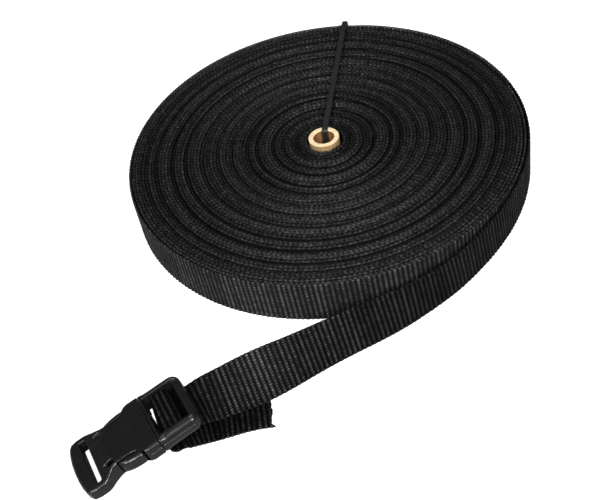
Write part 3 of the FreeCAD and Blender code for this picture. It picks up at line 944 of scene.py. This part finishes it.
def tie_band():
    loop = rounded(TIE_LOOP)
    points = []
    for start, end in zip(loop, np.roll(loop, -1, 0)):
        count = max(1, int(np.linalg.norm(end - start) / 0.4))
        points += [start + (end - start) * k / count for k in range(count)]
    points = np.array(points)
    ahead = unit(np.roll(points, -1, 0) - np.roll(points, 1, 0))
    # outwards for a counter-clockwise loop
    normal = np.stack([ahead[:, 1], -ahead[:, 0]], -1)
    length = path_length(points)
    radius, z = points.T
    on_top = (z > 26.5) & (radius > 10) & (radius < 108)
    wobble = np.where(on_top, 0.10 * wave(radius / 9.0, 12), 0.0)
    lateral = 0.18 * wave(radius / 35.0, 21) * on_top

    section = []
    for k in range(20):
        angle = 2 * math.pi * k / 20 + math.pi / 20
        c, s = math.cos(angle), math.sin(angle)
        section.append((
            math.copysign(abs(c) ** 0.35, c) * TIE_HALF_WIDTH,
            math.copysign(abs(s) ** 0.45, s) * TIE_HALF_THICK,
        ))
    side, rise = np.array(section).T
    crown = 0.05 * (1 - (side / TIE_HALF_WIDTH) ** 2) * np.sign(rise)
    # cross ridges along the outer face
    ridged = (rise > 0) & (np.abs(side) < 0.8 * TIE_HALF_WIDTH)
    ridges = 0.06 * np.sin(length * 2 * np.pi / 1.6 + 0.4)
    lift = rise + crown + ridges[:, None] * ridged
    position = tie_point(
        radius[:, None] + normal[:, :1] * lift,
        side + lateral[:, None],
        z[:, None] + normal[:, 1:] * lift + wobble[:, None],
    )
    rest = np.stack(np.broadcast_arrays(length[:, None], side, rise), -1)
    return build("tie_band", position, ring_quads(len(points), len(section)), {"rest": rest})


def head_field(x, y, z):
    """x outwards from the band, y across, z up."""
    block = rectangle(y, z, (-2.75, 2.75), (4.1, 8.9), corner=0.9)
    block = extrude(block, x - 114.4, half=2.45, edge=0.7)
    slot = rectangle(x, y, (115.2, 116.4), (-1.9, 1.9), corner=0.2)
    return carve(block, np.maximum(slot, 7.2 - z), 0.3)


def tie_head():
    points, quads = surface(head_field, (111.2, -3.6, 3.4), (117.6, 3.6, 9.6), step=0.22)
    return build("tie_head", tie_point(*points.T), quads, {"rest": points})


for make in (tie_band, tie_head):
    finish_piece(make(), TIE, ("retaining_tie",), body="coil")

# ------------------------------------------------------------------ buckle
MOUTH_X = 37.35       # open end of the socket
RAIL_X = 37.65        # where the plug's rails are cut square to meet it
BUCKLE_HALF = 4.5     # half the height of rails and shell


def side_line(x, side, y, half_depth, radius):
    """Tool for the shallow line along the outside of rail and shell."""
    return np.hypot(side - y, (x - 1.0) / half_depth) - radius


def plug_field(x, y, z):
    side = np.abs(y)
    # rounded rails
    block = rectangle(x, y, (26.0, 58.5), (-17.0, 17.0), corner=4.6)
    solid = extrude(block, z, half=BUCKLE_HALF, edge=2.4 + 0.9 * ease(x, 38.3, 41.5))
    solid = carve(solid, x - RAIL_X, 0.4)
    solid = carve(solid, rectangle(x, side, (39.0, 54.6), (-20.0, 13.0), corner=0.7), 0.9)
    # end bar lower than the rails, above and below
    for beyond in (3.4 - 0.12 * (x - 54.6) - z, z + 1.6):
        solid = carve(solid, np.maximum(np.maximum(side - 13.0, beyond), 54.0 - x), 1.0)
    bar = rectangle(x, z, (43.8, 49.2), (-1.6, 1.6), corner=0.9)
    solid = merge(solid, extrude(bar, y, half=13.6, edge=0.2), 0.5)
    line = side_line(z, side, 17.25, half_depth=0.85, radius=0.85)
    solid = carve(solid, np.maximum(line, np.maximum(38.6 - x, x - 55.6)), 0.5)
    # guide tongue
    half = 1.6 + 0.6 * np.clip((x - 20) / 18, 0, 1)
    tongue = np.maximum(side - half, np.maximum(20.0 - x, x - 39.5))
    solid = merge(solid, extrude(tongue, z, half=2.3, edge=0.6), 0.6)
    # flared root of each release arm
    root = rectangle(x, side, (MOUTH_X, 39.6), (7.4, 11.4), corner=0.3)
    return merge(solid, extrude(root, z, half=2.6, edge=0.5), 0.4)


# outlines in the buckle's x, y; the arm's is the one on +y
ARM = [
    (37.2, 9.2), (37.0, 8.5), (30.0, 9.1), (22.5, 10.0), (16.0, 8.4), (14.3, 8.2), (13.8, 9.1),
    (14.8, 10.2), (16.95, 10.85), (17.1, 12.6), (17.9, 14.0), (19.4, 15.0), (22.0, 15.8),
    (25.0, 16.2), (27.4, 16.3), (28.7, 16.0), (29.3, 15.1), (29.35, 12.0), (33.5, 11.1),
    (37.0, 10.5), (37.2, 9.8),
]
SHELL_HALF = [
    (-2.7, 0.0), (-2.5, 6.0), (-1.9, 11.0), (-1.1, 14.6), (0.4, 16.8), (3.6, 17.6), (8.0, 17.5),
    (10.5, 16.2), (12.8, 14.4), (14.8, 13.2), (16.6, 12.7), (20.0, 12.6), (24.0, 12.7),
    (26.6, 13.3), (28.4, 14.8), (29.8, 16.6), (31.6, 17.35), (35.0, 17.3), (42.0, 17.25),
]
SHELL = SHELL_HALF + [(x, -y) for x, y in reversed(SHELL_HALF) if y > 0]
CAVITY_HALF = [(38.5, -12.7), (30.0, -12.7), (30.0, -19.0), (16.8, -19.0), (16.8, -11.2), (12.6, -10.6)]
CAVITY = CAVITY_HALF + [(x, -y) for x, y in reversed(CAVITY_HALF)]


def arm_field(sign):
    def field(x, y, z):
        side = y * sign
        # the pad is as deep as the window, the spring strip behind it thinner
        half = 2.34 + 1.2 * ease(side, 11.5, 12.4)
        edge = 1.0 + 1.3 * ease(side, 12.6, 14.4)
        solid = extrude(polygon(x, side, ARM), z, half, edge)
        # grip grooves on the pad
        for groove_x in (20.6, 22.4, 24.2, 26.0):
            groove_y = 16.45 + 0.10 * (groove_x - 22)
            groove = np.hypot((x - groove_x) / 0.42, (side - groove_y) / 0.6) - 1.0
            solid = carve(solid, groove * 0.45, 0.15)
        return solid
    return field


def socket_field(x, y, z):
    side = np.abs(y)
    # the strap loop is thinner, its underside level with the shell's
    rise = ease(x, 7.2, 15.4)
    edge = 1.5 + 0.9 * ease(x, 28.8, 31.0) + 0.4 * (1 - ease(x, 11.0, 14.5))
    solid = extrude(polygon(x, y, SHELL), z + 0.8 * (1 - rise), 3.4 + 1.1 * rise, edge)
    solid = carve(solid, MOUTH_X - x, 0.4)
    # the rail's side line runs on along the mouth of the shell
    line = side_line(z, side, 17.55, half_depth=0.85, radius=0.8)
    solid = carve(solid, np.maximum(line, 31.4 - x), 0.5)
    slot = rectangle(x, side, (4.2, 7.5), (-20.0, 14.0), corner=0.9)
    solid = carve(solid, slot, 1.0)
    # higher inside the windows, so that the pads slide in under the rim
    room = 1.05 * ease(side, 7.6, 8.8) * ease(x, 15.6, 16.4) * (1 - ease(x, 30.0, 31.0))
    cavity = np.maximum(polygon(x, y, CAVITY), np.abs(z) - 2.8 - room)
    solid = carve(solid, cavity, 0.35)
    # small sunk corners where the shell meets the strap loop
    depth = np.abs(z) - 4.9
    near_sink = rectangle(x, y, (10.4, 16.0), (-11.5, -8.5), corner=0.9)
    far_sink = rectangle(x, y, (11.4, 15.8), (6.6, 10.9), corner=0.9)
    near_sink = extrude(near_sink, depth, half=1.9, edge=0.3)
    far_sink = extrude(far_sink, depth, half=1.7, edge=0.3)
    return carve(solid, np.minimum(near_sink, far_sink), 0.6)


# piece, field, low and high corners of its grid, body, node it replaces
for name, field, low, high, body, node in (
    ("buckle_plug", plug_field, (19.2, -18.0, -5.4), (59.6, 18.0, 5.4), "plug", "plug_frame"),
    ("buckle_socket", socket_field, (-3.8, -18.8, -5.4), (38.4, 18.6, 5.4),
     "socket", "socket_housing"),
    ("buckle_left_arm", arm_field(1), (13.0, 6.6, -4.2), (38.2, 17.4, 4.2),
     "left_arm", "left_release_arm"),
    ("buckle_right_arm", arm_field(-1), (13.0, -17.4, -4.2), (38.2, -6.6, 4.2),
     "right_arm", "right_release_arm"),
):
    points, quads = surface(field, low, high, step=0.28)
    piece = build(name, buckle_point(*points.T), quads, {"rest": points})
    finish_piece(piece, PLASTIC, (node,), body=body)


# ------------------------------------------------------------------ stage, light, camera (metres)
def add_object(name, data):
    added = bpy.data.objects.new(name, data)
    bpy.context.scene.collection.objects.link(added)
    return added


def add_floor(half=4, z=-0.0004):
    mesh = bpy.data.meshes.new("floor")
    corners = [(-half, -half, z), (half, -half, z), (half, half, z), (-half, half, z)]
    mesh.from_pydata(corners, [], [(0, 1, 2, 3)])
    floor = add_object("floor", mesh)
    mat = Shader("floor_paper")
    mat.set(Base_Color=(0.42, 0.42, 0.42), Emission_Color=(1, 1, 1))
    # plain white to the camera, an ordinary lit surface to everything else
    rays = mat.node("LightPath")
    mat.set(Emission_Strength=rays.outputs["Is Camera Ray"])
    mat.set(Roughness=0.9, Specular_IOR_Level=0.1)
    mesh.materials.append(mat.material)


def add_world(fill_strength=0.08):
    """Soft fill for the object, plain white beyond the floor's edge to the camera."""
    world = bpy.data.worlds.new("studio")
    world.use_nodes = True
    tree = world.node_tree
    background = tree.nodes["Background"]
    background.inputs[0].default_value = (1, 1, 1, 1)
    rays = tree.nodes.new("ShaderNodeLightPath")
    fill = tree.nodes.new("ShaderNodeMath")
    fill.operation = "MAXIMUM"
    fill.inputs[1].default_value = fill_strength
    tree.links.new(rays.outputs["Is Camera Ray"], fill.inputs[0])
    tree.links.new(fill.outputs[0], background.inputs[1])
    bpy.context.scene.world = world


def add_area(name, place, target, size, power):
    light = bpy.data.lights.new(name, "AREA")
    light.energy = power
    light.shape = "SQUARE"
    light.size = size
    lamp = add_object(name, light)
    lamp.location = place
    aim = Vector(target) - Vector(place)
    lamp.rotation_euler = aim.to_track_quat("-Z", "Y").to_euler()


def add_camera():
    data = bpy.data.cameras.new("camera")
    data.sensor_width = 36.0
    data.lens = 66.0
    data.clip_end = 20.0
    camera = add_object("camera", data)
    # the camera's right, up and backward directions
    axes = Matrix(((0.9790, -0.1423, -0.1459), (0.2038, 0.6836, 0.7009), (0.0, -0.7159, 0.6982)))
    place = Matrix.Translation((-0.02535, -0.47224, 0.40641))
    camera.matrix_world = place @ axes.transposed().to_4x4()
    bpy.context.scene.camera = camera


add_floor()
add_world()
add_area("key", place=(0.42, -0.98, 0.92), target=(0.0, -0.04, 0), size=0.30, power=15.0)
add_area("front", place=(-0.46, -0.92, 0.74), target=(-0.04, -0.12, 0.02), size=0.35, power=12.0)
add_area("overhead", place=(-0.10, 0.10, 1.5), target=(0, 0, 0), size=0.7, power=6.0)
bpy.context.scene.view_settings.view_transform = "Standard"
bpy.context.scene.view_settings.look = "None"
add_camera()
